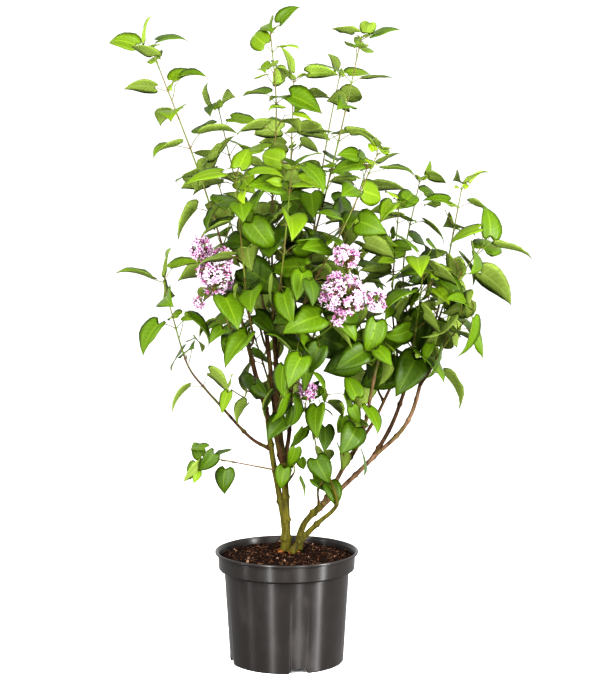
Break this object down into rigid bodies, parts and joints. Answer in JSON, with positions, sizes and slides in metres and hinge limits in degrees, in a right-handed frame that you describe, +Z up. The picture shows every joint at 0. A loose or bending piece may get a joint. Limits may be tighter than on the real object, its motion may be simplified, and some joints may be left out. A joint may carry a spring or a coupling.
{
  "type": "lilac bush in a nursery pot",
  "caption": "Young multi-stemmed lilac bush with heart-shaped leaves and pale purple flower heads, growing from compost in a round dark plastic nursery pot.",
  "frame": {"origin": "on the floor, at the centre of the pot's flat underside", "axes": "+Z up, +X to the right and -Y towards the viewer in the front view, which shows both large flower heads"},
  "size_m": [0.7508, 0.4971, 1.178],
  "materials": {
    "pot": "dark grey moulded plastic, satin gloss",
    "compost": "moist crumbly potting compost",
    "bark": "thin brown bark, olive green with moss near the foot",
    "foliage": "soft satin green leaves, lighter at the shoot tips",
    "blossom": "pale pink-purple petals with darker buds"
  },
  "bodies": {
    "root": {"blossom_left": "blossom", "blossom_right": "blossom", "blossom_small": "blossom", "bough_centre": "bark", "bough_far_left": "bark", "bough_left_inner": "bark", "bough_left_outer": "bark", "bough_right": "bark", "cane_dark": "bark", "cane_front": "bark", "cane_outer": "bark", "cane_pink": "bark", "cane_right": "bark", "cane_second": "bark", "compost": "compost", "leaves_back_centre": "foliage", "leaves_back_left": "foliage", "leaves_back_low": "foliage", "leaves_back_right": "foliage", "leaves_centre_back": "foliage", "leaves_centre_tall": "foliage", "leaves_dark_cane": "foliage", "leaves_far_left": "foliage", "leaves_far_right": "foliage", "leaves_front_centre": "foliage", "leaves_front_left": "foliage", "leaves_left_inner": "foliage", "leaves_left_low": "foliage", "leaves_left_tall": "foliage", "leaves_low_back": "foliage", "leaves_low_centre": "foliage", "leaves_low_front": "foliage", "leaves_low_left": "foliage", "leaves_low_right": "foliage", "leaves_low_trunk": "foliage", "leaves_middle_right": "foliage", "leaves_pink_cane": "foliage", "leaves_right_back": "foliage", "leaves_right_low": "foliage", "leaves_right_middle": "foliage", "leaves_right_tall": "foliage", "leaves_right_top": "foliage", "leaves_second_cane": "foliage", "pot": "pot", "stem_left": "bark", "trunk": "bark", "twig_left": "bark"}
  },
  "joints": []
}
